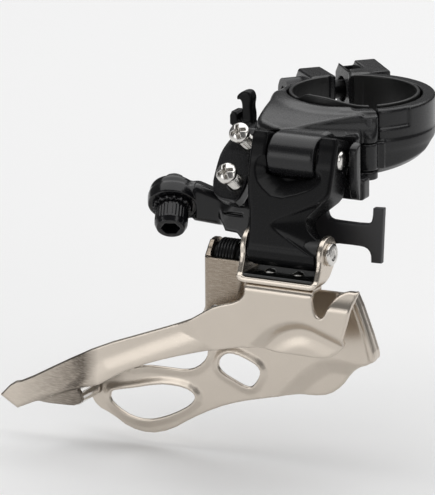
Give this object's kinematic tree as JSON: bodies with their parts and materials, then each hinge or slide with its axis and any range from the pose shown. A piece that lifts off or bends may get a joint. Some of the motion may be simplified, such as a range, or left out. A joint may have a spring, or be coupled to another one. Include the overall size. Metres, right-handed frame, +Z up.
{
  "type": "front derailleur",
  "caption": "Clamp-on front derailleur: a hinged seat-tube clamp carries two links that move a two-plate chain cage sideways under a cable anchor.",
  "frame": {"origin": "on the seat tube's axis, inside the clamp, 0.7 mm below the middle of the liner's height", "axes": "+Z up along the seat tube, +X to the front of the bicycle, +Y inboard from the chainrings to the frame"},
  "size_m": [0.1014, 0.0882, 0.0879],
  "materials": {
    "body_black": "satin",
    "link_black": "satin",
    "gloss_black": "gloss",
    "cage_steel": "satin nickel",
    "zinc": "bright zinc",
    "black_plate": "gloss",
    "spring_black": "black oxide",
    "grey_plastic": "fine grain",
    "liner_plastic": "matte",
    "bush_plastic": "matte"
  },
  "bodies": {
    "body": {"main_body": "body_black", "rear_liner": "liner_plastic", "clamp_hinge_pin": "link_black", "cable_guide": "link_black", "upper_inner_pin": "zinc", "upper_pivot_bush": "bush_plastic"},
    "clamp": {"clamp_band": "body_black", "front_liner": "liner_plastic", "clamp_nut": "link_black"},
    "clamp screw": {"clamp_bolt": "link_black"},
    "outer link": {"outer_link": "link_black", "upper_outer_pin": "zinc", "lower_pivot_bush": "bush_plastic"},
    "inner link": {"inner_link": "gloss_black"},
    "cage": {"outer_plate": "cage_steel", "inner_plate": "cage_steel", "cage_bracket": "cage_steel", "bracket_plate": "black_plate", "bracket_rivets": "zinc", "face_rivets": "zinc", "lower_outer_pin": "zinc", "lower_inner_pin": "zinc", "spring_bush": "bush_plastic", "return_spring": "spring_black", "tail_spacer": "zinc", "tail_screw": "zinc"},
    "high limit": {"limit_screw_high": "zinc"},
    "low limit": {"limit_screw_low": "zinc"},
    "cable anchor": {"anchor_bolt": "gloss_black", "anchor_washer": "gloss_black"},
    "setting block": {"setting_block": "grey_plastic"}
  },
  "joints": [
    {"name": "clamp_hinge", "type": "hinge", "parent": "body", "child": "clamp", "pos_m": [0.01171, -0.01803, -0.006], "axis": [0, 0, -1], "range_deg": [0, 60]},
    {"name": "clamp_bolt_out", "type": "slide", "parent": "body", "child": "clamp screw", "axis": [-0.7071, -0.7071, 0], "range_m": [0, 0.016]},
    {"name": "outer_link_swing", "type": "hinge", "parent": "body", "child": "outer link", "pos_m": [0, -0.038, -0.0024], "axis": [-1, 0, 0], "range_deg": [-36, 5]},
    {"name": "inner_link_swing", "type": "hinge", "parent": "body", "child": "inner link", "pos_m": [-0.016, -0.029, -0.0089], "axis": [-1, 0, 0], "range_deg": [-36, 5]},
    {"name": "cage_pivot", "type": "hinge", "parent": "outer link", "child": "cage", "pos_m": [0.002, -0.04584, -0.02455], "axis": [-1, 0, 0], "range_deg": [-5, 36]},
    {"name": "high_limit_out", "type": "slide", "parent": "body", "child": "high limit", "axis": [0, -0.8131, 0.5821], "range_m": [0, 0.003]},
    {"name": "low_limit_out", "type": "slide", "parent": "body", "child": "low limit", "axis": [0, -0.8131, 0.5821], "range_m": [0, 0.003]},
    {"name": "anchor_bolt_out", "type": "slide", "parent": "inner link", "child": "cable anchor", "axis": [0.2895, -0.7386, -0.6088], "range_m": [0, 0.004]},
    {"name": "setting_block_out", "type": "slide", "parent": "cage", "child": "setting block", "axis": [1, 0, 0], "range_m": [0, 0.025]}
  ],
  "couplings": [
    {"joint": "inner_link_swing", "follows": "outer_link_swing", "ratio": 1},
    {"joint": "cage_pivot", "follows": "outer_link_swing", "ratio": -1}
  ]
}
